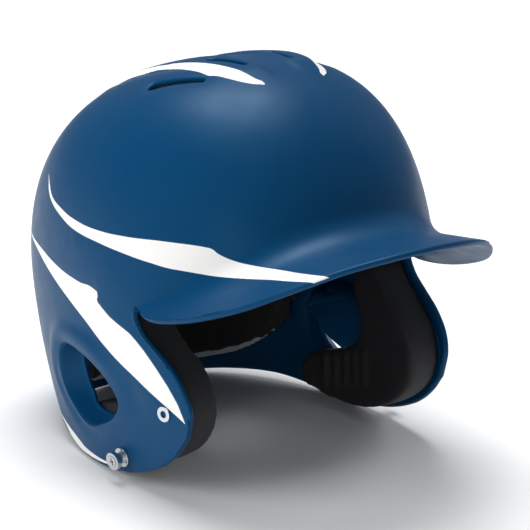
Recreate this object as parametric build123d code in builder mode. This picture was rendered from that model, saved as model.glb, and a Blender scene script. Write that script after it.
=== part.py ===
"""Double-flap batting helmet: a moulded shell with foam liners, ear pads and strap hardware.

The helmet is laid out on its own level plane, which passes through the ear line and is pitched
back, so that the helmet stands as it does on a table, on both ear flaps and the nape. Side views are drawn as (forward, up) and plans
as (left, back), both in millimetres from the centre of that plane.
"""

import os
from math import cos, pi, radians, sin

from build123d import *

os.makedirs("parts", exist_ok=True)

# Stance: pitch of the level plane, and its centre above and in front of the origin.
PITCH = 19.3
EAR_HEIGHT = 64.3
EAR_BACK = -3.7

# Dome of the shell, outside.
HALF_WIDTH = 108.0
FRONT_REACH = 118.0
BACK_REACH = 130.0
CROWN_HEIGHT = 164.7
WIDEST_BACK = 6.0
WIDEST_HEIGHT = 35.0
FLAP_BOTTOM = -75.0
WALL = 3.6

# Brim: a plate arched across and dropping forward.
BRIM_REACH = 166.0
BRIM_HALF_WIDTH = 109.0
BRIM_SHOULDER = 53.0
BRIM_HEIGHT = 45.0
BRIM_ARCH = 37.0
BRIM_SLOPE = 0.17
BRIM_THICK = 4.2

# Liner layers, as depths from the outside of the shell.
GLUE_GAP = 0.3
FOAM_DEPTH = 15.5
COMFORT_DEPTH = 22.5
EAR_PAD_DEPTH = 27.0

# Ear scoops and crown vents.
SCOOP_PLACE = (-33.0, -8.0)
SCOOP_DEPTH = 12.0
VENT_WIDTH = 6.5

# Strap snap: an M4 screw holds the stud through the flap. Guard insert: an M5 thread.
SNAP_PLACE = (-7.0, -50.0)
SCREW_RADIUS = 1.95
SNAP_BASE_RADIUS = 5.75
SNAP_HEAD_RADIUS = 5.2
SNAP_HEIGHT = 8.2
GUARD_PLACE = (38.0, -26.0)
GUARD_BORE_RADIUS = 2.1
GUARD_BARREL_RADIUS = 3.1
GUARD_LENGTH = 9.0

tilt = radians(PITCH)
level = Plane(origin=(0, EAR_BACK, EAR_HEIGHT), x_dir=(1, 0, 0), z_dir=(0, sin(tilt), cos(tilt)))
side_view = Plane(origin=level.origin, x_dir=-level.y_dir, z_dir=(-1, 0, 0))
front_view = Plane(origin=level.origin, x_dir=(1, 0, 0), z_dir=-level.y_dir)


def rounded(height, top, power, taper):
    """Share of the full reach at a height: a superellipse above the widest line."""
    if height > WIDEST_HEIGHT:
        t = min((height - WIDEST_HEIGHT) / (top - WIDEST_HEIGHT), 1.0)
        return (1 - t**power) ** (1 / power)
    return 1 - taper * ((WIDEST_HEIGHT - height) / 100) ** 2


def reaches(height, depth):
    """Half width, front reach and back reach of the dome at a height and a depth inside it."""
    top = CROWN_HEIGHT - depth
    half = (HALF_WIDTH - depth) * rounded(height, top, 2.74, 0.08)
    flare = min(max((30 - height) / 50, 0.0), 1.0)
    front = (FRONT_REACH + 45 * flare**1.3 - depth) * rounded(height, top, 2.63, 0.0)
    back = (BACK_REACH - depth) * rounded(height, top, 2.31, 0.10)
    return half, front, back


def level_points(height, depth, count=32):
    """Points round the dome at one height, from the front through the wearer's left."""
    half, front, back = reaches(height, depth)
    points = []
    for i in range(count):
        turn = 2 * pi * (i + 0.5) / count
        across = abs(sin(turn)) ** (2 / 2.2) * (1 if sin(turn) > 0 else -1)
        along = abs(cos(turn)) ** (2 / 2.18) * (1 if cos(turn) > 0 else -1)
        reach = front if along > 0 else back
        points.append((half * across, WIDEST_BACK - reach * along))
    return points


def surface_point(side, forward, height):
    """Point on the outside of the dome's side wall."""
    half, front, back = reaches(height, 0)
    offset = -forward - WIDEST_BACK
    reach = front if offset < 0 else back
    across = half * (1 - (abs(offset) / reach) ** 2.18) ** (1 / 2.2)
    return level.from_local_coords(Vector(side * across, -forward, height))


def surface_plane(side, forward, height):
    """Plane on the side wall, with its normal pointing out of the shell."""
    place = surface_point(side, forward, height)
    ahead = surface_point(side, forward + 1, height) - place
    above = surface_point(side, forward, height + 1) - place
    return Plane(origin=place, x_dir=ahead, z_dir=above.cross(ahead) * side)


def dome(depth):
    """Closed volume of the dome and flaps, its surface a set depth inside the shell's."""
    top = CROWN_HEIGHT - depth
    heights = [FLAP_BOTTOM, -50, -30, -10, 10, 22, WIDEST_HEIGHT]
    heights += [WIDEST_HEIGHT + (top - WIDEST_HEIGHT) * sin(pi / 2 * i / 10) for i in range(2, 10)]
    with BuildPart() as volume:
        for height in heights + [top - 0.6]:
            with BuildSketch(level.offset(height)):
                with BuildLine():
                    Spline(*level_points(height, depth), periodic=True)
                make_face()
        loft()
    return volume.part


outer = dome(0)
inner = dome(WALL)

# Shell: dome trimmed to the ear flaps and nape, with the brim grown out of its front edge.
# ------------------------------------------------------------------------------------------
FLAP_OUTLINE = [
    (31, 30), (33, 20), (41, 10), (50, -2), (56, -17), (56.5, -28), (50, -42), (38, -51),
    (22, -57.5), (0, -60), (-21, -58), (-40, -53.5), (-56, -48), (-72, -40), (-88, -33),
    (-112, -26), (-131, -22),
]
BROW_LINE = [(31, 30), (50, 32.6), (80, 38.4), (118, 48.5), (150, 58)]

with BuildPart() as trim:
    with BuildSketch(side_view):
        with BuildLine():
            Spline(*FLAP_OUTLINE)
            Spline(*BROW_LINE)
            Polyline(BROW_LINE[-1], (150, 200), (-160, 200), (-160, -20), FLAP_OUTLINE[-1])
        make_face()
    extrude(amount=140, both=True)

arch_points = [(BRIM_HALF_WIDTH * i / 8, i / 8) for i in range(-9, 10)]
brim_edge = [
    (
        BRIM_HALF_WIDTH * sin(pi / 2 * i / 8) ** (2 / 1.9),
        -BRIM_SHOULDER - (BRIM_REACH - BRIM_SHOULDER) * cos(pi / 2 * i / 8) ** (2 / 1.9),
    )
    for i in range(1, 8)
]

with BuildPart() as brim:
    with BuildSketch(front_view):
        with BuildLine():
            rise = BRIM_HEIGHT + BRIM_SLOPE * BRIM_REACH
            top_edge = [(x, rise - BRIM_ARCH * abs(s) ** 2.42) for x, s in arch_points]
            upper = Spline(*top_edge)
            lower = Spline(*[(x, z - BRIM_THICK) for x, z in top_edge])
            Line(upper @ 0, lower @ 0)
            Line(upper @ 1, lower @ 1)
        make_face()
    extrude(amount=190, dir=-level.y_dir - level.z_dir * BRIM_SLOPE)
    with BuildSketch(level.offset(-20)):
        with BuildLine():
            left_edge = brim_edge + [(BRIM_HALF_WIDTH, -BRIM_SHOULDER), (105, -28)]
            right_edge = [(-x, y) for x, y in reversed(left_edge)]
            Spline(*right_edge, (0, -BRIM_REACH), *left_edge)
            Polyline(left_edge[-1], (80, -10), (-80, -10), right_edge[0])
        make_face()
    extrude(amount=160, mode=Mode.INTERSECT)

# Ear scoops: behind each ear hole the wall is pushed in towards the hole, as a funnel. The
# outlines are drawn on the flap's own plane, from the middle of the scoop.
SCOOP_RIM = [
    (-15, 21), (3, 19), (17, 12), (27, -1), (27, -13), (15, -21), (-3, -21), (-17, -8),
    (-27, 7), (-26, 17),
]
EAR_HOLE = [
    (-5, 14), (5, 12), (15, 6), (23, -3), (23, -12), (14, -18), (0, -17), (-7, -10),
    (-8, -1), (-8, 8),
]


def spread(outline, margin):
    """An outline moved outwards from its middle by about a margin."""
    return [Vector(x, y) * (1 + margin / Vector(x, y).length) for x, y in outline]


def funnel(mouth, throat, mouth_depth, throat_depth):
    """Solid on the right flap between a mouth outline and a throat outline further in."""
    flap = surface_plane(-1, *SCOOP_PLACE)
    with BuildPart() as cone:
        for outline, depth in ((mouth, mouth_depth), (throat, throat_depth)):
            with BuildSketch(flap.offset(-depth)):
                with BuildLine():
                    Spline(*outline, periodic=True)
                make_face()
        loft(ruled=True)
    return cone.part


with BuildPart() as scoop_walls:
    add(funnel(spread(SCOOP_RIM, 1), spread(EAR_HOLE, WALL), 0, SCOOP_DEPTH))
    add(outer, mode=Mode.INTERSECT)
    mirror(about=Plane.YZ)

with BuildPart() as scoop_hollows:
    add(funnel(SCOOP_RIM, EAR_HOLE, 0, SCOOP_DEPTH + 3))
    add(funnel(spread(SCOOP_RIM, 3), SCOOP_RIM, -8, 0.01))
    mirror(about=Plane.YZ)

# Crown vents: one pair over the temples and one pair beside the middle of the crown. Each is
# a slot given by its middle and one end.
VENT_SLOTS = [((50, -29), (43.5, -42)), ((18, -38), (16, -50))]

with BuildPart() as vents:
    with BuildSketch(level.offset(120)):
        for middle, end in VENT_SLOTS:
            for side in (1, -1):
                SlotCenterPoint((side * middle[0], middle[1]), (side * end[0], end[1]), VENT_WIDTH)
    extrude(amount=60)

snap_plane = surface_plane(-1, *SNAP_PLACE)
snap_axis = Axis(snap_plane.origin, snap_plane.z_dir)
guard_plane = surface_plane(-1, *GUARD_PLACE)

with BuildPart() as fastener_holes:
    with BuildSketch(snap_plane.offset(-10)):
        Circle(SCREW_RADIUS + 0.25)
    with BuildSketch(guard_plane.offset(-10)):
        Circle(GUARD_BARREL_RADIUS + 0.1)
    extrude(amount=20)
    mirror(about=Plane.YZ)

with BuildPart() as shell:
    add(outer)
    add(trim.part, mode=Mode.INTERSECT)
    add(brim.part)
    add(inner, mode=Mode.SUBTRACT)
    add(scoop_walls.part)
    add(scoop_hollows.part, mode=Mode.SUBTRACT)
    add(vents.part, mode=Mode.SUBTRACT)
    add(fastener_holes.part, mode=Mode.SUBTRACT)
shell.part.label = "shell"
export_step(shell.part, "parts/shell.step")


def save_pair(piece, name):
    """Write a right-hand piece and its mirror image for the left."""
    with BuildPart() as twin:
        mirror(piece.part, about=Plane.YZ)
    piece.part.label = f"{name}_right"
    twin.part.label = f"{name}_left"
    export_step(piece.part, f"parts/{name}_right.step")
    export_step(twin.part, f"parts/{name}_left.step")


# Liner: blocks of impact foam glued inside the dome, each faced with a softer comfort pad.
# ------------------------------------------------------------------------------------------
def layer(near, far):
    """The space between two depths inside the shell."""
    with BuildPart() as space:
        add(dome(near))
        add(dome(far), mode=Mode.SUBTRACT)
    return space.part


foam_layer = layer(WALL + GLUE_GAP, FOAM_DEPTH)
comfort_layer = layer(FOAM_DEPTH + GLUE_GAP, COMFORT_DEPTH)

for layer_name, space, inset in (("impact_foam", foam_layer, 0), ("comfort_pad", comfort_layer, 2)):
    with BuildPart() as front_pad:
        with BuildSketch(front_view.offset(38)):
            with Locations((0, 90)):
                RectangleRounded(116 - 2 * inset, 62 - 2 * inset, 18 - inset)
        extrude(amount=90)
        add(space, mode=Mode.INTERSECT)
    front_pad.part.label = f"{layer_name}_front"
    export_step(front_pad.part, f"parts/{layer_name}_front.step")

    with BuildPart() as rear_pad:
        with BuildSketch(front_view.offset(-46)):
            with Locations((0, 48)):
                RectangleRounded(164 - 2 * inset, 128 - 2 * inset, 26 - inset)
        extrude(amount=-100)
        add(space, mode=Mode.INTERSECT)
    rear_pad.part.label = f"{layer_name}_rear"
    export_step(rear_pad.part, f"parts/{layer_name}_rear.step")

    with BuildPart() as crown_pad:
        with BuildSketch(level.offset(100)):
            with Locations((0, 22)):
                RectangleRounded(84 - 2 * inset, 74 - 2 * inset, 20 - inset)
        extrude(amount=70)
        add(space, mode=Mode.INTERSECT)
    crown_pad.part.label = f"{layer_name}_crown"
    export_step(crown_pad.part, f"parts/{layer_name}_crown.step")

    with BuildPart() as side_pad:
        with BuildSketch(side_view.offset(50)):
            with Locations((7, 78)):
                RectangleRounded(94 - 2 * inset, 70 - 2 * inset, 18 - inset)
        extrude(amount=70)
        add(space, mode=Mode.INTERSECT)
    save_pair(side_pad, f"{layer_name}_side")

# Ear pads: a thick J of foam on each flap, in front of the ear and under it, with pockets for
# the backs of the fasteners and for the scoop.
EAR_PAD_OUTLINE = [
    (26, 27), (33, 14), (43, 0), (50.5, -16), (51, -29), (44, -42), (33, -49.5), (16, -55),
    (-4, -56), (-24, -51.5), (-42, -43.5), (-52, -34), (-48, -23), (-34, -20), (-14, -19),
    (-2, -13), (1, 0), (-1, 16), (2, 27), (14, 31),
]
POCKET_RADIUS = 8.0
POCKET_DEPTH = 11.0

with BuildPart() as pockets:
    with BuildSketch(snap_plane.offset(-POCKET_DEPTH)):
        Circle(POCKET_RADIUS)
    with BuildSketch(guard_plane.offset(-POCKET_DEPTH)):
        Circle(POCKET_RADIUS)
    extrude(amount=POCKET_DEPTH)
    add(funnel(spread(SCOOP_RIM, 4), spread(EAR_HOLE, WALL + 2), -2, SCOOP_DEPTH + 1.5))

with BuildPart() as ear_pad:
    with BuildSketch(side_view.offset(40)):
        with BuildLine():
            Spline(*EAR_PAD_OUTLINE, periodic=True)
        make_face()
    extrude(amount=80)
    add(layer(WALL + GLUE_GAP, EAR_PAD_DEPTH), mode=Mode.INTERSECT)
    add(pockets.part, mode=Mode.SUBTRACT)
save_pair(ear_pad, "ear_pad")

# Strap snap: a stud outside each flap, held by a screw into a washer and hexagon nut inside.
# ------------------------------------------------------------------------------------------
INSIDE = WALL + 0.3
WASHER_THICK = 1.0
NUT_THICK = 3.2
HEAD_RECESS = 1.8

with BuildPart() as snap_stud:
    with BuildSketch(snap_plane.offset(0.1)):
        Circle(SNAP_BASE_RADIUS)
    extrude(amount=1.6)
    fillet(snap_stud.edges().sort_by(snap_axis)[-1], 0.5)
    with BuildSketch(snap_plane.offset(1.6)):
        Circle(3.4)
    extrude(amount=4.2)
    with BuildSketch(snap_plane.offset(5.6)):
        Circle(SNAP_HEAD_RADIUS)
    extrude(amount=SNAP_HEIGHT - 5.6)
    with BuildSketch(snap_plane.offset(SNAP_HEIGHT)):
        Circle(3.4)
    extrude(amount=-HEAD_RECESS, mode=Mode.SUBTRACT)
    with BuildSketch(snap_plane.offset(SNAP_HEIGHT)):
        Circle(SCREW_RADIUS + 0.1)
    extrude(amount=-SNAP_HEIGHT - 1, mode=Mode.SUBTRACT)
save_pair(snap_stud, "snap_stud")

with BuildPart() as snap_screw:
    with BuildSketch(snap_plane.offset(SNAP_HEIGHT - HEAD_RECESS + 0.02)):
        Circle(3.25)
    extrude(amount=HEAD_RECESS + 0.2)
    with BuildSketch(snap_plane.offset(SNAP_HEIGHT + 0.22)):
        Rectangle(4.2, 0.9)
        Rectangle(0.9, 4.2)
    extrude(amount=-1.2, mode=Mode.SUBTRACT)
    with BuildSketch(snap_plane.offset(SNAP_HEIGHT - HEAD_RECESS + 0.02)):
        Circle(SCREW_RADIUS)
    extrude(amount=-(SNAP_HEIGHT - HEAD_RECESS) - INSIDE - WASHER_THICK - NUT_THICK - 0.8)
save_pair(snap_screw, "snap_screw")

with BuildPart() as snap_washer:
    with BuildSketch(snap_plane.offset(-INSIDE)):
        Circle(6)
        Circle(SCREW_RADIUS + 0.2, mode=Mode.SUBTRACT)
    extrude(amount=-WASHER_THICK)
save_pair(snap_washer, "snap_washer")

with BuildPart() as snap_nut:
    with BuildSketch(snap_plane.offset(-INSIDE - WASHER_THICK - 0.02)):
        RegularPolygon(3.5, 6, major_radius=False)
        Circle(SCREW_RADIUS + 0.05, mode=Mode.SUBTRACT)
    extrude(amount=-NUT_THICK)
save_pair(snap_nut, "snap_nut")

# Face guard insert: a flanged threaded barrel through the flap, held by a spring ring inside.
# ------------------------------------------------------------------------------------------
with BuildPart() as guard_insert:
    with BuildSketch(guard_plane.offset(0.1)):
        Circle(4.4)
    extrude(amount=0.9)
    with BuildSketch(guard_plane.offset(0.1)):
        Circle(GUARD_BARREL_RADIUS)
    extrude(amount=-GUARD_LENGTH)
    with BuildSketch(guard_plane.offset(1)):
        Circle(GUARD_BORE_RADIUS)
    extrude(amount=-GUARD_LENGTH - 1, mode=Mode.SUBTRACT)
save_pair(guard_insert, "guard_insert")

with BuildPart() as guard_ring:
    with BuildSketch(guard_plane.offset(-INSIDE)):
        Circle(6)
        Circle(GUARD_BARREL_RADIUS + 0.1, mode=Mode.SUBTRACT)
    extrude(amount=-1.2)
save_pair(guard_ring, "guard_ring")
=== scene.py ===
from bisect import bisect_right
from math import acos, atan2, cos, exp, hypot, pi, radians, sin

import bmesh
import bpy
from mathutils import Matrix, Vector
from mathutils.geometry import interpolate_bezier


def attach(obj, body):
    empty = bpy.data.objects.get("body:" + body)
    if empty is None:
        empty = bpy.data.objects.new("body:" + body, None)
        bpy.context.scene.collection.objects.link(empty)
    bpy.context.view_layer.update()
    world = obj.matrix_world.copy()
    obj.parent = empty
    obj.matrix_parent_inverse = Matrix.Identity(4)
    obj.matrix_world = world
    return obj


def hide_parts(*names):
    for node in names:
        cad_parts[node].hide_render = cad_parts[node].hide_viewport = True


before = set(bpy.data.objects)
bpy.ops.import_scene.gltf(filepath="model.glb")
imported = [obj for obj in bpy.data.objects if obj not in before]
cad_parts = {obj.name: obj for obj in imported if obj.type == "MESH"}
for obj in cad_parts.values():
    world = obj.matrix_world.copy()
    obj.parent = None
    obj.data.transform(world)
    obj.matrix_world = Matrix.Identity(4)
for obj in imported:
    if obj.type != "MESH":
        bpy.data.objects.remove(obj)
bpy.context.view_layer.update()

# ---------------------------------------------------------------------------------------------
# Shell. One injection moulding in ABS with a wall of 3.6 mm: dome, brim, ear flaps, scoops with
# their hoods and crown rails in one piece. The mould rounds its rims over their whole thickness.
# It is sprayed satin blue, and the accents are masked and sprayed white.
# ---------------------------------------------------------------------------------------------
MM = 0.001
PITCH = 19.3
WALL = 3.6
LIP = 1.3
HALF_WIDTH, FRONT_REACH, BACK_REACH = 108.0, 118.0, 130.0
CROWN_HEIGHT, WIDEST_HEIGHT, WIDEST_BACK = 164.7, 35.0, 6.0
BRIM_HEIGHT, BRIM_ARCH, BRIM_SLOPE = 45.0, 37.0, 0.17
BRIM_REACH, BRIM_HALF_WIDTH = 166.0, 109

# The helmet's own level space is in millimetres. It has its origin between the ears and +Y back,
# and the helmet stands tipped back from it, on its flaps and nape.
level = Matrix.Translation((0, -0.0037, 0.0643)) @ Matrix.Rotation(radians(-PITCH), 4, "X")
level = level @ Matrix.Scale(MM, 4)


def smooth_step(low, high, value):
    """0 below low, 1 above high, and an even curve between."""
    t = min(max((value - low) / (high - low), 0.0), 1.0)
    return t * t * (3 - 2 * t)


def rounded(height, power, taper):
    """Share of the full reach at a height: a superellipse above the widest line."""
    if height > WIDEST_HEIGHT:
        t = min((height - WIDEST_HEIGHT) / (CROWN_HEIGHT - WIDEST_HEIGHT), 1.0)
        return (1 - t**power) ** (1 / power)
    return 1 - taper * ((WIDEST_HEIGHT - height) / 100) ** 2


def reaches(height):
    """Half width, front reach and back reach of the dome at a height."""
    half = HALF_WIDTH * rounded(height, 2.74, 0.08)
    front = (FRONT_REACH + 45 * smooth_step(-34, 28, -height)) * rounded(height, 2.63, 0.0)
    return half, front, BACK_REACH * rounded(height, 2.31, 0.10)


def dome_point(turn, height):
    """Point of the plain dome: turn is 0 at the front and pi at the back."""
    half, front, back = reaches(height)
    along = abs(cos(turn)) ** (2 / 2.18)
    depth = -front * along if turn < pi / 2 else back * along
    return Vector((half * abs(sin(turn)) ** (2 / 2.2), WIDEST_BACK + depth, height))


def turn_at(forward, height):
    """The turn at which the dome has a given forward reach."""
    half, front, back = reaches(height)
    offset = -forward - WIDEST_BACK
    if offset < 0:
        return acos(min((-offset / front) ** 1.09, 1.0))
    return pi - acos(min((offset / back) ** 1.09, 1.0))


def track(points):
    """A smooth line through points, as a function of the share of its length."""
    knots = [Vector(p).to_3d() for p in points]
    tangents = [b - a for a, b in zip([knots[0]] + knots[:-1], knots[1:] + [knots[-1]])]
    line = []
    for i in range(len(knots) - 1):
        span = (knots[i + 1] - knots[i]).length
        lean = [tangents[j].normalized() * span / 3 for j in (i, i + 1)]
        line += interpolate_bezier(knots[i], knots[i] + lean[0], knots[i + 1] - lean[1], knots[i + 1], 16)
    lengths = [0.0]
    for a, b in zip(line, line[1:]):
        lengths.append(lengths[-1] + (b - a).length)

    def at(share):
        reach = min(max(share, 0.0), 1.0) * lengths[-1]
        i = min(bisect_right(lengths, reach), len(line) - 1)
        step = lengths[i] - lengths[i - 1]
        return line[i - 1].lerp(line[i], (reach - lengths[i - 1]) / step if step > 0 else 0.0)

    return at


def polar(outline, centre):
    """Radius of an outline round a centre, as a function of the angle."""
    offsets = [(x - centre[0], y - centre[1]) for x, y in outline]
    knots = sorted((atan2(y, x), hypot(x, y)) for x, y in offsets)
    knots = [(knots[-1][0] - 2 * pi, knots[-1][1])] + knots + [(knots[0][0] + 2 * pi, knots[0][1])]
    spread, count = 25, 400
    line = track([(angle * spread, radius) for angle, radius in knots])
    samples = [line(i / count) for i in range(count + 1)]
    angles = [s.x / spread for s in samples]

    def radius(angle):
        i = min(max(bisect_right(angles, angle), 1), count)
        a, b = samples[i - 1], samples[i]
        return a.y + (b.y - a.y) * (angle * spread - a.x) / max(b.x - a.x, 1e-6)

    return radius


def level_on(rows, place, column):
    """Value in a column of rows at a place along their first column."""
    for low, high in zip(rows, rows[1:]):
        if place <= high[0]:
            share = max((place - low[0]) / (high[0] - low[0]), 0.0)
            return low[column] + (high[column] - low[column]) * share
    return rows[-1][column]


# Side-view outlines, as (forward, up) from the ear line.
TEMPLE = (30, 34)
shoulder_line = track([TEMPLE, (26, 37), (12, 41), (2, 44), (-13, 51), (-28, 58), (-45, 66), (-63, 75),
                       (-89, 84), (-124, 90)])
flap_front = track([TEMPLE, (29.5, 29), (33, 19.5), (41, 9.5), (50, -2), (56, -16), (57, -28), (50, -42)])
flap_bottom = track([(50, -42), (38, -51), (22, -57.5), (0, -60), (-21, -58), (-40, -53.5), (-56, -48),
                     (-72, -40), (-88, -33), (-112, -26), (-131, -22)])
SCOOP_CENTRE = (-27, -8)
scoop_rim = polar([(-46.4, 15.2), (-53, 6), (-55, -1.5), (-53, -11.8), (-47, -20.7), (-40, -28),
                   (-31.1, -32), (-19.4, -31), (-6.5, -27), (0.8, -20), (0.3, -14.5), (-4.7, -5.5),
                   (-12.4, 3), (-22.8, 10.5), (-31.5, 15), (-40, 17)], SCOOP_CENTRE)
ear_hole = polar([(-44.5, 7.5), (-45.5, -3), (-43.5, -13.5), (-38.5, -21.5), (-33, -25), (-23, -26.2),
                  (-13, -24.5), (-8, -20), (-8, -15.5), (-12, -7), (-20, 0.6), (-32, 8),
                  (-40.5, 10.5)], SCOOP_CENTRE)

# Each accent has two directions, as (across, back, up), and rows of the distance along the
# first one with the low and high edges of the paint along the second.
ARCH = ((0, -1, 0), (-0.6, 0, 1), [
    (-52, 60, 60), (-50, 56.5, 57.5), (-46, 46.5, 50.5), (-40, 38, 41.5), (-30, 28.8, 33.6),
    (-13, 17, 23.5), (7, 8.8, 16.1), (25, 2.8, 12.6), (43, -1.8, 11.4), (58, -3.9, 11.5),
    (75, -3.6, 12.3), (79, -3.4, 9.9), (85, -3, 8.2), (93, -2.5, 7.8), (106, -2.2, 7.3),
    (124, -3.1, 4.6), (141, -3.5, 2.6), (170, -4, 0)])
SWEEP = ((0, -0.773, -0.635), (0, -0.635, 0.773), [
    (-122, 7.5, 7.5), (-90, 14.8, 19.4), (-75, 15.2, 22.8), (-60, 15.1, 26.3), (-43, 14.6, 31.2),
    (-26, 13.4, 36), (-24.6, 13.2, 31.2), (-12, 11.5, 29.6), (5, 10, 30.4), (17, 9.5, 28.3),
    (30, 9.1, 24.5), (42, 8.8, 20.2), (52, 8.4, 15.2), (60.5, 7.6, 7.6)])
NAPE = ((0, -0.924, -0.382), (0, -0.382, 0.924), [
    (-76, -56, -56), (-56, -60.2, -56.6), (-45, -63.2, -57.1), (-33, -64.2, -58.8), (-25, -63.6, -60.1),
    (-15, -62.4, -59.9), (-5, -60.6, -59), (6.5, -57.3, -57.3)])
CROWN = ((0, -1, 0), (1, 0, 0), [
    (-86, 67, 67), (-66, 58, 65), (-50, 48.5, 55.5), (-34, 40, 44), (-16, 35.8, 39), (4, 33.9, 36.9),
    (16, 33, 37.2), (26, 32.2, 37.8), (41, 30.3, 38.1), (50, 28.8, 36), (58, 26.6, 33.4), (66, 23.7, 28.6),
    (70, 21.5, 23.5), (71, 22, 22)])

# Crown vents: middle, end and width in plan, as (forward, across).
VENTS = [((29, 50), (42, 43.5), 6.0), ((38, 19), (49, 17), 5.0)]


def vent_nearest(vent, forward, across):
    """Nearest point of a vent's middle line in plan, and the half width there."""
    (mf, ma), (ef, ea), width = vent
    length = hypot(ef - mf, ea - ma)
    run = ((forward - mf) * (ef - mf) + (across - ma) * (ea - ma)) / length**2
    run = min(max(run, -1.0), 1.0)
    return mf + (ef - mf) * run, ma + (ea - ma) * run, width / 2 * (1 - 0.25 * run)


def round_scoop(forward, height):
    """Angle and distance from the middle of the ear hole, in side view."""
    over, up = forward - SCOOP_CENTRE[0], height - SCOOP_CENTRE[1]
    return atan2(up, over), hypot(up, over)


def sweep_place(forward, height):
    """Distance along the sweep, and height above its upper edge, in side view."""
    along = 0.773 * forward - 0.635 * height
    return along, 0.635 * forward + 0.773 * height - level_on(SWEEP[2], along, 2)


VENTS_ABOVE = 130.0


def opening_gap(point):
    """Distance from a point of the dome to the nearest opening, less than 0 inside it,
    and the nearest place on that opening's edge."""
    forward, across, height = -point.y, point.x, point.z
    if height > VENTS_ABOVE:
        best = (1e9, point)
        for vent in VENTS:
            cf, ca, radius = vent_nearest(vent, forward, across)
            gap = max(hypot(forward - cf, across - ca), 1e-4)
            radius += LIP
            edge = Vector((ca + (across - ca) * radius / gap, -cf - (forward - cf) * radius / gap, height))
            best = min(best, (gap - radius, edge), key=lambda found: found[0])
        return best
    if height < 40 and forward < 20 and across > 60:
        angle, reach = round_scoop(forward, height)
        radius = ear_hole(angle) + LIP
        back, up = -SCOOP_CENTRE[0] - radius * cos(angle), SCOOP_CENTRE[1] + radius * sin(angle)
        return reach - radius, Vector((across, back, up))
    return 1e9, point


# Heights and depths of the moulded relief.
SCOOP_DEPTH = 12.5
BROW_HEIGHT = 2.6
GROOVE_DEPTH = 1.3
DENT_DEPTH = 0.9
STEP_HEIGHT = 1.1
RAIL_HEIGHT = 2.6
VALLEY_DEPTH = 1.9
VENT_DEPTHS = (1.0, 0.7)
CROWN_ABOVE = 95.0


def raised(point):
    """How far the moulding stands out of the plain dome, along its normal."""
    forward, across, height = -point.y, point.x, point.z
    out = 0.0
    if height < 75 and across > 60:
        angle, reach = round_scoop(forward, height)
        if reach < 60:
            rim, hole = scoop_rim(angle), ear_hole(angle) + LIP
            behind = smooth_step(1.0, 5.5, rim - hole)
            fall = min(max((rim - reach) / max(rim - hole, 2.0), 0.0), 1.0)
            out -= SCOOP_DEPTH * behind * (1 - (1 - fall) ** 1.5)
            upper = smooth_step(-0.6, 0.9, sin(angle - 0.35))
            out += BROW_HEIGHT * upper * (exp(-(((reach - rim - 7) / 6.0) ** 2)) if reach > rim else 0.25)
            lower = smooth_step(0.0, 0.9, -sin(angle + 0.9))
            out -= GROOVE_DEPTH * lower * exp(-(((reach - rim - 4.5) / 2.6) ** 2))
        out -= DENT_DEPTH * exp(-(((forward - 16) / 8) ** 2) - ((height + 15) / 13) ** 2)
        along, above = sweep_place(forward, height)
        ends = smooth_step(-80, -40, along) * smooth_step(-64, -50, -along)
        out += STEP_HEIGHT * ends * smooth_step(-0.9, 0.9, above) * (1 - smooth_step(14, 40, above))
    if height > CROWN_ABOVE:
        inner, outer = level_on(CROWN[2], forward, 1), level_on(CROWN[2], forward, 2)
        ends = smooth_step(-78, -35, forward) * (1 - smooth_step(52, 74, forward))
        out += RAIL_HEIGHT * ends * (1 - smooth_step(inner - 0.5, outer + 0.5, across))
        out -= VALLEY_DEPTH * ends * (1 - smooth_step(6, 14, across))
        for vent, depth in zip(VENTS, VENT_DEPTHS):
            cf, ca, half = vent_nearest(vent, forward, across)
            out -= depth * (1 - smooth_step(half, 9, hypot(forward - cf, across - ca)))
    return out


def root_point(turn):
    """Where the brim's top would meet the plain dome, found by stepping closer eight times."""
    height = 40.0
    for _ in range(8):
        place = dome_point(turn, height)
        arch = BRIM_ARCH * (place.x / BRIM_HALF_WIDTH) ** 2.42
        top = BRIM_HEIGHT - arch + BRIM_SLOPE * (BRIM_REACH + place.y)
        height += (top - height) * 0.7
    return dome_point(turn, height)


temple_turn = turn_at(*TEMPLE)
temple = dome_point(temple_turn, TEMPLE[1])
ROOT_KNOTS = 24
root_knots = [root_point(temple_turn * (1 - i / ROOT_KNOTS)) for i in range(2, ROOT_KNOTS + 1)]
root_line = track([temple] + root_knots)
brim_edge = track([temple, (106.3, -36, 30.2), (108.3, -44, 27.6), (109, -54, 26.3), (105, -80, 26),
                   (94, -108, 29), (76, -131, 35), (53, -150, 41), (26, -162, 44), (0, -166, 45)])
FRONT_COLUMNS, BACK_COLUMNS = 48, 96
DOME_ROWS, BRIM_ROWS, FLAP_ROWS = 52, 24, 44
FILLET_HEIGHT = 17.0
FILLET_BEND = 0.42

# Columns of the brim, from the middle to the temple, then the line where the flap starts.
columns = []
for i in range(FRONT_COLUMNS):
    corner, edge = root_line(1 - i / FRONT_COLUMNS), brim_edge(1 - i / FRONT_COLUMNS)
    turn = turn_at(-corner.y, corner.z) if i else 0.0
    columns.append((turn, corner.z + FILLET_HEIGHT * (1 - (i / FRONT_COLUMNS) ** 2), corner, edge))
columns.append((temple_turn, TEMPLE[1], temple, temple))
shoulder = [(temple_turn, TEMPLE[1])]
for i in range(1, BACK_COLUMNS + 1):
    place = shoulder_line(i / BACK_COLUMNS)
    shoulder.append((turn_at(place.x, place.y) if i < BACK_COLUMNS else pi, place.y))
foot = [(c[0], c[1]) for c in columns] + shoulder[1:]


def grid(bm, across, up):
    """A flat grid, returned as its vertices with their column and row, to be shaped."""
    made = bmesh.ops.create_grid(bm, x_segments=across, y_segments=up, size=0.5)["verts"]
    return [(v, round((v.co.x + 0.5) * across), round((v.co.y + 0.5) * up)) for v in made]


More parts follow.
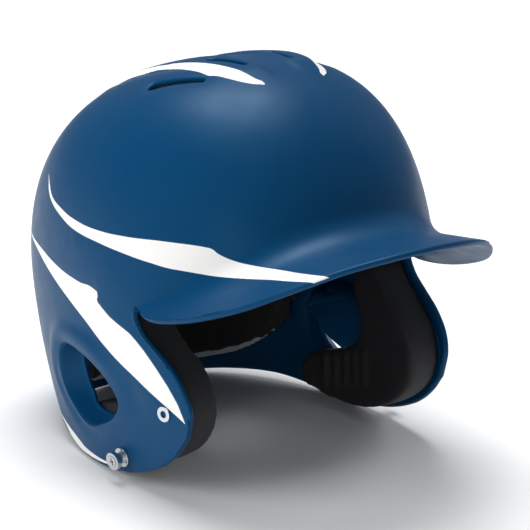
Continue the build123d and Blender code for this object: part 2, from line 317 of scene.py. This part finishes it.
bm = bmesh.new()
outside = bm.verts.layers.float.new("outside")
for v, i, j in grid(bm, FRONT_COLUMNS + BACK_COLUMNS, DOME_ROWS):
    turn, low = foot[i]
    start = acos(min(max((low - WIDEST_HEIGHT) / (CROWN_HEIGHT - WIDEST_HEIGHT), 0.0), 1.0) ** 1.3)
    lift = cos(start * (1 - j / DOME_ROWS)) ** (2 / 2.6)
    height = WIDEST_HEIGHT + (CROWN_HEIGHT - WIDEST_HEIGHT) * lift if j else low
    v.co = dome_point(turn, max(height, low))

for v, i, j in grid(bm, FRONT_COLUMNS, BRIM_ROWS):
    turn, low, corner, edge = columns[i]
    start, share = dome_point(turn, low), 1 - j / BRIM_ROWS
    brim = (edge - corner).length
    turn_in = min((start - corner).length * 1.1, brim * 0.6)
    inner = corner + (edge - corner).normalized() * turn_in if brim > 0 else corner
    if share < FILLET_BEND:
        t = share / FILLET_BEND
        v.co = start.lerp(corner, t).lerp(corner.lerp(inner, t), t)
    else:
        v.co = inner.lerp(edge, (share - FILLET_BEND) / (1 - FILLET_BEND))

corners = (shoulder[0], shoulder[-1], (turn_at(50, -42), -42.0), (pi, -22.0))
for v, i, j in grid(bm, BACK_COLUMNS, FLAP_ROWS):
    w, t = i / BACK_COLUMNS, 1 - j / FLAP_ROWS
    front, bottom = flap_front(t), flap_bottom(w)
    front = (turn_at(front.x, front.y), front.y)
    bottom = (turn_at(bottom.x, bottom.y) if i < BACK_COLUMNS else pi, bottom.y)
    top, back = shoulder[i], (pi, shoulder[-1][1] + (corners[3][1] - shoulder[-1][1]) * t)
    place = [(1 - t) * top[k] + t * bottom[k] + (1 - w) * front[k] + w * back[k]
             - (1 - t) * ((1 - w) * corners[0][k] + w * corners[1][k])
             - t * ((1 - w) * corners[2][k] + w * corners[3][k]) for k in (0, 1)]
    v.co = dome_point(min(place[0], pi), place[1])

bmesh.ops.remove_doubles(bm, verts=bm.verts, dist=0.05)
bmesh.ops.recalc_face_normals(bm, faces=bm.faces)


def needs_detail(point, margin):
    """Whether the surface near a point has an opening, the scoop or the step in it."""
    if abs(opening_gap(point)[0]) < margin:
        return True
    forward, height = -point.y, point.z
    if height > CROWN_ABOVE and margin > 4 and -75 < forward < 76:
        inner, outer = level_on(CROWN[2], forward, 1), level_on(CROWN[2], forward, 2)
        return inner - 3 < point.x < outer + 3
    if height > 75 or point.x < 60:
        return False
    angle, reach = round_scoop(forward, height)
    if reach < scoop_rim(angle) + margin and reach > ear_hole(angle) - 4:
        return True
    along, above = sweep_place(forward, height)
    return margin > 4 and -80 < along < 60 and abs(above) < 3.0


for margin in (6.0, 2.6):
    near = {v for v in bm.verts if needs_detail(v.co, margin)}
    edges = [e for e in bm.edges if e.verts[0] in near and e.verts[1] in near]
    bmesh.ops.subdivide_edges(bm, edges=edges, cuts=1, use_grid_fill=True)

def key(point):
    """A place rounded to a thousandth, for finding the same vertex after an extrusion."""
    return tuple(round(c, 3) for c in point)


# Move the nearer end of each mesh edge that crosses an opening onto the opening's edge, cut the
# faces that still straddle it, and take out what is inside.
bm.normal_update()
gaps = {v: opening_gap(v.co) for v in bm.verts}
rim_verts = set()
for e in bm.edges:
    a, b = e.verts
    if gaps[a][0] * gaps[b][0] < 0 and abs(gaps[a][0]) < 20 and abs(gaps[b][0]) < 20:
        rim_verts.add(a if abs(gaps[a][0]) < abs(gaps[b][0]) else b)
for v in rim_verts:
    move = gaps[v][1] - v.co
    move -= v.normal * move.dot(v.normal)
    v.co += move
inside = {v for v in bm.verts if gaps[v][0] < 0 and v not in rim_verts}
bmesh.ops.connect_verts(bm, verts=list(rim_verts))
openings = []
for f in bm.faces:
    if any(v in inside for v in f.verts) or opening_gap(f.calc_center_median())[0] < -0.4:
        openings.append(f)
bmesh.ops.delete(bm, geom=openings, context="FACES")

bm.normal_update()
lifts = [(v, v.normal.copy(), raised(v.co)) for v in bm.verts]
for v, normal, out in lifts:
    v.co += normal * out
    if v.co.x < 0.05:
        v.co.x = 0.0
half = bm.verts[:] + bm.edges[:] + bm.faces[:]
bmesh.ops.mirror(bm, geom=half, matrix=Matrix.Identity(4), merge_dist=0.02, axis="X")
bmesh.ops.remove_doubles(bm, verts=[v for v in bm.verts if abs(v.co.x) < 0.06], dist=0.06)
bmesh.ops.recalc_face_normals(bm, faces=bm.faces)
if sum(f.normal.z for f in bm.faces if f.calc_center_median().z > 150) < 0:
    bmesh.ops.reverse_faces(bm, faces=bm.faces)
bm.normal_update()


# The hood of each ear hole: its front and upper edge runs on inwards and back as a curved wall.
HOOD_STEPS = 6
HOOD_REACH = 20.0
HOOD_FACING = 0.65
HOOD_ROUNDS = 8
ring = []
for e in bm.edges:
    middle = (e.verts[0].co + e.verts[1].co) / 2
    angle, reach = round_scoop(-middle.y, middle.z)
    if e.is_boundary and reach < 38 and abs(middle.x) > 60:
        ring.append(e)
weights = {}
for v in {v for e in ring for v in e.verts}:
    angle, reach = round_scoop(-v.co.y, v.co.z)
    facing = cos(angle - HOOD_FACING)
    inward = 0.06 + 0.94 * smooth_step(-0.6, 0.85, facing)
    weights[key(v.co)] = (inward, inward * smooth_step(-0.3, 0.9, facing))
hood = []
for k in range(HOOD_STEPS):
    made = bmesh.ops.extrude_edge_only(bm, edges=ring)["geom"]
    ring = [g for g in made if isinstance(g, bmesh.types.BMEdge) and g.is_boundary]
    moved = {}
    for v in {v for e in ring for v in e.verts}:
        inward, back = weights[key(v.co)]
        side = 1 if v.co.x > 0 else -1
        v.co += Vector((-side * 0.95 * inward, 1.1 * back, 0)) * HOOD_REACH / HOOD_STEPS
        moved[key(v.co)] = (inward, back)
        hood.append(v)
    weights = moved
AXES = {"use_axis_x": True, "use_axis_y": True, "use_axis_z": True}
for k in range(HOOD_ROUNDS):
    bmesh.ops.smooth_vert(bm, verts=hood, factor=0.5, **AXES)
bm.normal_update()

# The wall: a lip rolled round every free edge, then the inside skin.
outer = bm.faces[:]
for v in bm.verts:
    v[outside] = 1.0
free = [e for e in bm.edges if e.is_boundary]
away = {}
for e in free:
    face, middle = e.link_faces[0], (e.verts[0].co + e.verts[1].co) / 2
    along = (e.verts[1].co - e.verts[0].co).normalized()
    out = middle - face.calc_center_median()
    out = (out - along * out.dot(along)).normalized()
    for v in e.verts:
        away[v] = away.get(v, Vector()) + out
rims = {}
for v, out in away.items():
    out = (out - v.normal * out.dot(v.normal)).normalized()
    if opening_gap(Vector((abs(v.co.x), v.co.y, v.co.z)))[0] > 8:
        v.co -= out * LIP
    rims[v] = (v.co.copy(), v.normal.copy(), out)
inward = {v: v.co - v.normal * WALL for v in bm.verts}
skin = bmesh.ops.duplicate(bm, geom=outer)
mapped = {v: skin["vert_map"][v] for v in inward}
for v, twin in mapped.items():
    twin.co = inward[v]
    twin[outside] = 0.0
bmesh.ops.reverse_faces(bm, faces=[g for g in skin["geom"] if isinstance(g, bmesh.types.BMFace)])
LIP_STEPS = 6
PAINTED_STEPS = 2
ring, source = free, {key(v.co): rims[v] for v in rims}
for k in range(1, LIP_STEPS + 1):
    made = bmesh.ops.extrude_edge_only(bm, edges=ring)["geom"]
    ring = [g for g in made if isinstance(g, bmesh.types.BMEdge)]
    ring = [e for e in ring if e.is_boundary]
    turned = pi * k / LIP_STEPS
    moved = {}
    for v in {v for e in ring for v in e.verts}:
        base, normal, out = source[key(v.co)]
        v.co = base + out * LIP * sin(turned) - normal * WALL / 2 * (1 - cos(turned))
        v[outside] = 1.0 if k <= PAINTED_STEPS else 0.0
        moved[key(v.co)] = (base, normal, out)
    source = moved
last = {v for e in ring for v in e.verts} | {mapped[v] for v in rims}
bmesh.ops.remove_doubles(bm, verts=list(last), dist=0.01)
bmesh.ops.transform(bm, matrix=level, verts=bm.verts)
shell_mesh = bpy.data.meshes.new("moulded_shell")
bm.to_mesh(shell_mesh)
bm.free()
shell_mesh.shade_smooth()
shell = bpy.data.objects.new("moulded_shell", shell_mesh)
bpy.context.scene.collection.objects.link(shell)
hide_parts("shell")
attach(shell, "root")


def hex_colour(code):
    """An sRGB hex colour as the linear values that a shader takes."""
    parts = [int(code[i:i + 2], 16) / 255 for i in (1, 3, 5)]
    return tuple(c / 12.92 if c <= 0.04045 else ((c + 0.055) / 1.055) ** 2.4 for c in parts) + (1.0,)


def add_node(material, kind, settings, links=()):
    """Add a node to a material, set its values, and link sources to its inputs. A source is a
    socket, or a node whose first output is meant."""
    node = material.node_tree.nodes.new(kind)
    for name, value in settings.items():
        if isinstance(name, int) or name in node.inputs:
            node.inputs[name].default_value = value
        else:
            setattr(node, name, value)
    for name, source in dict(links).items():
        socket = source.outputs[0] if isinstance(source, bpy.types.Node) else source
        material.node_tree.links.new(socket, node.inputs[name])
    return node


def new_material(name, colour, roughness):
    """A material with its shader, its own coordinates in metres, and its base values set."""
    made = bpy.data.materials.new(name)
    made.use_nodes = True
    shader = made.node_tree.nodes["Principled BSDF"]
    shader.inputs["Base Color"].default_value = hex_colour(colour)
    shader.inputs["Roughness"].default_value = roughness
    return made, shader, add_node(made, "ShaderNodeTexCoord", {}).outputs["Object"]


# Satin two-pack paint over ABS: an even, slightly soft gloss with a faint orange peel of about
# 1.5 mm, and a little dust that changes the gloss from place to place. The white accents are
# masked on the outside only, and the two sides mirror each other.
BLUE, WHITE = "#003b62", "#ebe9e6"
painted, shader, place = new_material("satin painted ABS", BLUE, 0.4)
shader.inputs["Specular IOR Level"].default_value = 0.3
shader.inputs["Specular Tint"].default_value = hex_colour("#aedcff")
unturn = Matrix.Rotation(radians(PITCH), 3, "X")
own = add_node(painted, "ShaderNodeMapping", {
    "Scale": (1000, 1000, 1000), "Rotation": (radians(PITCH), 0, 0),
    "Location": unturn @ Vector((0, 3.7, -64.3))}, {"Vector": place})
parts = add_node(painted, "ShaderNodeSeparateXYZ", {}, {0: own})
across = add_node(painted, "ShaderNodeMath", {"operation": "ABSOLUTE"}, {0: parts})
folded = add_node(painted, "ShaderNodeCombineXYZ", {}, {
    0: across, 1: parts.outputs[1], 2: parts.outputs[2]})
coats = []
for along, up, rows in (ARCH, SWEEP, NAPE, CROWN):
    low, high = rows[0][0], rows[-1][0]
    base = min(row[1] for row in rows) - 1
    span = max(row[2] for row in rows) + 1 - base
    run = add_node(painted, "ShaderNodeVectorMath", {"operation": "DOT_PRODUCT", 1: along}, {0: folded})
    rise = add_node(painted, "ShaderNodeVectorMath", {"operation": "DOT_PRODUCT", 1: up}, {0: folded})
    run = add_node(painted, "ShaderNodeMapRange", {1: low, 2: high}, {0: run.outputs["Value"]})
    rise = add_node(painted, "ShaderNodeMapRange", {1: base, 2: base + span, "clamp": False},
                    {0: rise.outputs["Value"]})
    edges = []
    for column in (1, 2):
        edge = add_node(painted, "ShaderNodeFloatCurve", {}, {"Value": run})
        curve = edge.mapping.curves[0]
        values = [((row[0] - low) / (high - low), (row[column] - base) / span) for row in rows]
        curve.points[0].location, curve.points[1].location = values[0], values[-1]
        for value in values[1:-1]:
            curve.points.new(*value)
        for point in curve.points:
            point.handle_type = "AUTO_CLAMPED"
        edge.mapping.update()
        edges.append(edge)
    over = add_node(painted, "ShaderNodeMath", {"operation": "SUBTRACT"}, {0: rise, 1: edges[0]})
    under = add_node(painted, "ShaderNodeMath", {"operation": "SUBTRACT"}, {0: edges[1], 1: rise})
    coat = add_node(painted, "ShaderNodeMath", {"operation": "MINIMUM"}, {0: over, 1: under})
    if rows is CROWN[2]:
        top = add_node(painted, "ShaderNodeMapRange", {1: 100, 2: 101, 3: -1, 4: 1}, {0: parts.outputs[2]})
        coat = add_node(painted, "ShaderNodeMath", {"operation": "MINIMUM"}, {0: coat, 1: top})
    coats.append(coat)
while len(coats) > 1:
    pair = {0: coats.pop(0), 1: coats.pop(0)}
    coats.append(add_node(painted, "ShaderNodeMath", {"operation": "MAXIMUM"}, pair))
sprayed = add_node(painted, "ShaderNodeAttribute", {"attribute_name": "outside"})
sprayed = add_node(painted, "ShaderNodeMath", {"operation": "SUBTRACT", 1: 0.5}, {0: sprayed.outputs["Fac"]})
coat = add_node(painted, "ShaderNodeMath", {"operation": "MINIMUM"}, {0: coats[0], 1: sprayed})
mask = add_node(painted, "ShaderNodeMath", {"operation": "GREATER_THAN", 1: 0.0}, {0: coat})
paint = add_node(painted, "ShaderNodeMix", {
    "data_type": "RGBA", 6: hex_colour(BLUE), 7: hex_colour(WHITE)}, {0: mask})
painted.node_tree.links.new(paint.outputs[2], shader.inputs["Base Color"])
dust = add_node(painted, "ShaderNodeTexNoise", {"Scale": 60.0, "Detail": 3.0}, {"Vector": place})
gloss = add_node(painted, "ShaderNodeMapRange", {1: 0.3, 2: 0.7, 3: 0.38, 4: 0.46}, {0: dust})
painted.node_tree.links.new(gloss.outputs[0], shader.inputs["Roughness"])
peel = add_node(painted, "ShaderNodeTexNoise", {"Scale": 650.0, "Detail": 1.0}, {"Vector": place})
bump = add_node(painted, "ShaderNodeBump", {"Strength": 0.05, "Distance": 0.0003}, {"Height": peel})
painted.node_tree.links.new(bump.outputs[0], shader.inputs["Normal"])
shell_mesh.materials.append(painted)

# ---------------------------------------------------------------------------------------------
# Impact foam. Five blocks of light grey closed-cell foam, about 12 mm thick, moulded to the
# inside of the shell and glued to it. They take the blow.
# ---------------------------------------------------------------------------------------------
FOAM_VOXEL = 2.0


def soft_copy(node, name, voxel):
    """A remeshed copy of a CAD pad, as a new object in the same place."""
    bm = bmesh.new()
    bm.from_mesh(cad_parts[node].data)
    bmesh.ops.remove_doubles(bm, verts=bm.verts, dist=0.00002)
    mesh = bpy.data.meshes.new(name)
    bm.to_mesh(mesh)
    bm.free()
    made = bpy.data.objects.new(name, mesh)
    bpy.context.scene.collection.objects.link(made)
    remesh = made.modifiers.new("even cells", "REMESH")
    remesh.mode = "VOXEL"
    remesh.voxel_size = voxel * MM
    bake(made)
    return made


def bake(piece):
    """Apply a piece's modifiers to its mesh."""
    bpy.context.view_layer.update()
    evaluated = piece.evaluated_get(bpy.context.evaluated_depsgraph_get())
    done = bpy.data.meshes.new_from_object(evaluated)
    piece.modifiers.clear()
    piece.data = done


def relax(piece, rounds):
    """Soften a piece's edges, as foam that is moulded or cut."""
    bm = bmesh.new()
    bm.from_mesh(piece.data)
    for _ in range(rounds):
        bmesh.ops.smooth_vert(bm, verts=bm.verts, factor=0.5, **AXES)
    bm.to_mesh(piece.data)
    bm.free()
    piece.data.shade_smooth()


# Closed-cell foam is matt and pale, with cut cells a little under a millimetre across.
grey_foam, shader, place = new_material("closed-cell foam", "#b4b7b9", 0.9)
cells = add_node(grey_foam, "ShaderNodeTexVoronoi", {"Scale": 1100.0}, {"Vector": place})
shade = add_node(grey_foam, "ShaderNodeMapRange", {1: 0.0, 2: 0.8, 3: 0.0, 4: 1.0}, {0: cells})
tone = add_node(grey_foam, "ShaderNodeMix", {
    "data_type": "RGBA", 6: hex_colour("#a5a8ab"), 7: hex_colour("#c3c6c8")}, {0: shade})
grey_foam.node_tree.links.new(tone.outputs[2], shader.inputs["Base Color"])
pits = add_node(grey_foam, "ShaderNodeBump", {"Strength": 0.3, "Distance": 0.0004}, {"Height": cells})
grey_foam.node_tree.links.new(pits.outputs[0], shader.inputs["Normal"])

PLACES = ("front", "rear", "crown", "side_right", "side_left")
for where in PLACES:
    block = soft_copy("impact_foam_" + where, "foam_block_" + where, FOAM_VOXEL)
    relax(block, 2)
    block.data.materials.clear()
    block.data.materials.append(grey_foam)
    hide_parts("impact_foam_" + where)
    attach(block, "root")

# ---------------------------------------------------------------------------------------------
# Comfort pads. Soft foam under a black warp-knit fabric, welded round the edge and stuck to the
# impact foam. They are what the wearer's head touches, so they are plump between their seams.
# ---------------------------------------------------------------------------------------------
COMFORT_VOXEL = 3.2
TUCK = 0.6
PRESSURE = 4.0
MOST_SWELL = 2.5
SIM_FRAMES = 20

# Warp knit in black polyester: rows of loops about 1.2 mm apart, matt with a faint sheen.
knit, shader, place = new_material("black warp-knit polyester", "#121214", 0.85)
shader.inputs["Sheen Weight"].default_value = 0.12
shader.inputs["Sheen Roughness"].default_value = 0.5
rows_of_loops = []
for bands in ("Z", "X"):
    rows_of_loops.append(add_node(knit, "ShaderNodeTexWave", {
        "Scale": 260.0, "bands_direction": bands, "Distortion": 0.6, "Detail": 0.0}, {"Vector": place}))
loops = add_node(knit, "ShaderNodeMath", {"operation": "MULTIPLY"}, {
    0: rows_of_loops[0].outputs["Fac"], 1: rows_of_loops[1].outputs["Fac"]})
yarn = add_node(knit, "ShaderNodeMix", {
    "data_type": "RGBA", 6: hex_colour("#0c0c0d"), 7: hex_colour("#26262a")}, {0: loops})
knit.node_tree.links.new(yarn.outputs[2], shader.inputs["Base Color"])
weave = add_node(knit, "ShaderNodeBump", {"Strength": 0.35, "Distance": 0.0004}, {"Height": loops})
knit.node_tree.links.new(weave.outputs[0], shader.inputs["Normal"])


def inflate(piece):
    """Swell a pad a little by cloth simulation, as its fabric does over soft foam."""
    mesh = piece.data
    start = [v.co - v.normal * TUCK * MM for v in mesh.vertices]
    for v, spot in zip(mesh.vertices, start):
        v.co = spot
    cloth = piece.modifiers.new("swell", "CLOTH")
    cloth.settings.use_pressure = True
    cloth.settings.uniform_pressure_force = PRESSURE
    cloth.settings.effector_weights.gravity = 0
    cloth.settings.quality = 4
    for step in range(1, SIM_FRAMES + 1):
        bpy.context.scene.frame_set(step)
    bake(piece)
    bpy.context.scene.frame_set(1)
    for v, spot in zip(piece.data.vertices, start):
        move = v.co - spot
        if move.length > MOST_SWELL * MM:
            v.co = spot + move.normalized() * MOST_SWELL * MM


for where in PLACES:
    pad = soft_copy("comfort_pad_" + where, "knit_pad_" + where, COMFORT_VOXEL)
    inflate(pad)
    smoother = pad.modifiers.new("fine", "SUBSURF")
    smoother.levels = 1
    smoother.render_levels = 1
    bake(pad)
    relax(pad, 1)
    pad.data.materials.clear()
    pad.data.materials.append(knit)
    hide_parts("comfort_pad_" + where)
    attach(pad, "root")

# ---------------------------------------------------------------------------------------------
# Ear pads. One thick J of black closed-cell foam for each ear, moulded with a smooth skin and
# glued inside the flap. Five ribs on the tail let the foam bend round the jaw.
# ---------------------------------------------------------------------------------------------
EAR_VOXEL = 2.2
RIBS = (-31.0, -22.5, -14.0, -5.5, 3.0)
RIB_HEIGHT = 2.2
RIB_HALF_WIDTH = 2.3
RIB_LEAN = 0.12

# A moulded foam skin: near black, matt, with a fine leathery grain of about 1 mm.
skin_foam, shader, place = new_material("skinned black foam", "#1a1a1c", 0.72)
grain = add_node(skin_foam, "ShaderNodeTexNoise", {"Scale": 900.0, "Detail": 2.0}, {"Vector": place})
tone = add_node(skin_foam, "ShaderNodeMix", {
    "data_type": "RGBA", 6: hex_colour("#151517"), 7: hex_colour("#222225")}, {0: grain})
skin_foam.node_tree.links.new(tone.outputs[2], shader.inputs["Base Color"])
pores = add_node(skin_foam, "ShaderNodeBump", {"Strength": 0.25, "Distance": 0.0004}, {"Height": grain})
skin_foam.node_tree.links.new(pores.outputs[0], shader.inputs["Normal"])

to_level = level.inverted()
for side in ("right", "left"):
    pad = soft_copy("ear_pad_" + side, "ear_cushion_" + side, EAR_VOXEL)
    relax(pad, 4)
    bm = bmesh.new()
    bm.from_mesh(pad.data)
    bm.normal_update()
    shifts = []
    for v in bm.verts:
        spot = to_level @ v.co
        facing = v.normal.x if side == "right" else -v.normal.x
        if facing < 0.4:
            continue
        forward, height = -spot.y, spot.z
        lean = RIB_LEAN * (height + 32)
        rib = max(exp(-(((forward - f - lean) / RIB_HALF_WIDTH) ** 2)) for f in RIBS)
        length = smooth_step(-45, -41, height) * smooth_step(18, 23, -height)
        shifts.append((v, RIB_HEIGHT * rib * length * MM))
    for v, shift in shifts:
        v.co += v.normal * shift
    bm.to_mesh(pad.data)
    bm.free()
    pad.data.shade_smooth()
    pad.data.materials.clear()
    pad.data.materials.append(skin_foam)
    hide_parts("ear_pad_" + side)
    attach(pad, "root")

# ---------------------------------------------------------------------------------------------
# Fasteners. Each flap has a plated stud for a strap snap, held by a cross-recessed screw, a
# washer and a nut, and a threaded barrel for a face guard, held by a spring ring.
# ---------------------------------------------------------------------------------------------
# Bright nickel-chrome plating over brass, barrel polished.
plated, shader, place = new_material("bright chrome plating", "#d3d6da", 0.14)
shader.inputs["Metallic"].default_value = 1.0
haze = add_node(plated, "ShaderNodeTexNoise", {"Scale": 500.0, "Detail": 2.0}, {"Vector": place})
polish = add_node(plated, "ShaderNodeMapRange", {1: 0.3, 2: 0.7, 3: 0.1, 4: 0.2}, {0: haze})
plated.node_tree.links.new(polish.outputs[0], shader.inputs["Roughness"])
# Zinc electroplate on steel: greyer and duller, with cloudy patches a few millimetres across.
zinc, shader, place = new_material("zinc plated steel", "#a9adb0", 0.38)
shader.inputs["Metallic"].default_value = 1.0
cloud = add_node(zinc, "ShaderNodeTexNoise", {"Scale": 300.0, "Detail": 3.0}, {"Vector": place})
dull = add_node(zinc, "ShaderNodeMapRange", {1: 0.3, 2: 0.7, 3: 0.3, 4: 0.5}, {0: cloud})
zinc.node_tree.links.new(dull.outputs[0], shader.inputs["Roughness"])
for side in ("right", "left"):
    for name, finish in (("snap_stud_", plated), ("snap_screw_", plated), ("guard_insert_", plated),
                         ("snap_washer_", zinc), ("snap_nut_", zinc), ("guard_ring_", zinc)):
        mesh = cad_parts[name + side].data
        mesh.materials.clear()
        mesh.materials.append(finish)

# ---------------------------------------------------------------------------------------------
# Stage. A plain white paper floor, soft studio light from above and from the sides, and a camera
# with a long lens that looks slightly down from the wearer's front right.
# ---------------------------------------------------------------------------------------------
bm = bmesh.new()
bmesh.ops.create_grid(bm, x_segments=1, y_segments=1, size=4)
floor_mesh = bpy.data.meshes.new("floor")
bm.to_mesh(floor_mesh)
bm.free()
floor = bpy.data.objects.new("floor", floor_mesh)
bpy.context.scene.collection.objects.link(floor)
paper, shader, place = new_material("white paper sweep", "#f7f7f7", 0.95)
floor_mesh.materials.append(paper)

bpy.context.scene.view_settings.view_transform = "Standard"
world = bpy.data.worlds.new("studio")
world.use_nodes = True
world.node_tree.nodes["Background"].inputs["Color"].default_value = hex_colour("#f2f5f8")
world.node_tree.nodes["Background"].inputs["Strength"].default_value = 0.24
bpy.context.scene.world = world


def softbox(name, place, aim, size, power, shine=True):
    """A square area light at a place, turned to an aim, seen in glossy surfaces or not."""
    light = bpy.data.lights.new(name, "AREA")
    light.size = size
    light.energy = power
    lamp = bpy.data.objects.new(name, light)
    lamp.location = place
    lamp.rotation_euler = (Vector(aim) - Vector(place)).to_track_quat("-Z", "Y").to_euler()
    lamp.visible_glossy = shine
    bpy.context.scene.collection.objects.link(lamp)


MIDDLE = (0, 0, 0.12)
softbox("top light", (0.15, 0.45, 2.1), MIDDLE, 1.3, 42)
softbox("left light", (-1.9, 0.4, 0.8), MIDDLE, 1.2, 26, shine=False)
softbox("right light", (2.0, 0.2, 0.9), MIDDLE, 1.0, 16, shine=False)
softbox("low light", (-1.4, -1.1, 0.5), MIDDLE, 0.4, 2.5)

VIEW_AZIMUTH, VIEW_ELEVATION, VIEW_ROLL, VIEW_DISTANCE = -41.636, 18.066, 3.877, 1.6
turn, rise = radians(VIEW_AZIMUTH), radians(VIEW_ELEVATION)
backwards = Vector((sin(turn) * cos(rise), -cos(turn) * cos(rise), sin(rise)))
lens = bpy.data.cameras.new("camera")
lens.lens = 188.33
lens.sensor_width = 36
camera = bpy.data.objects.new("camera", lens)
camera.location = Vector((-0.0025, -0.0112, 0.112)) + backwards * VIEW_DISTANCE
facing = backwards.to_track_quat("Z", "Y").to_matrix() @ Matrix.Rotation(radians(VIEW_ROLL), 3, "Z")
camera.rotation_euler = facing.to_euler()
bpy.context.scene.collection.objects.link(camera)
bpy.context.scene.camera = camera
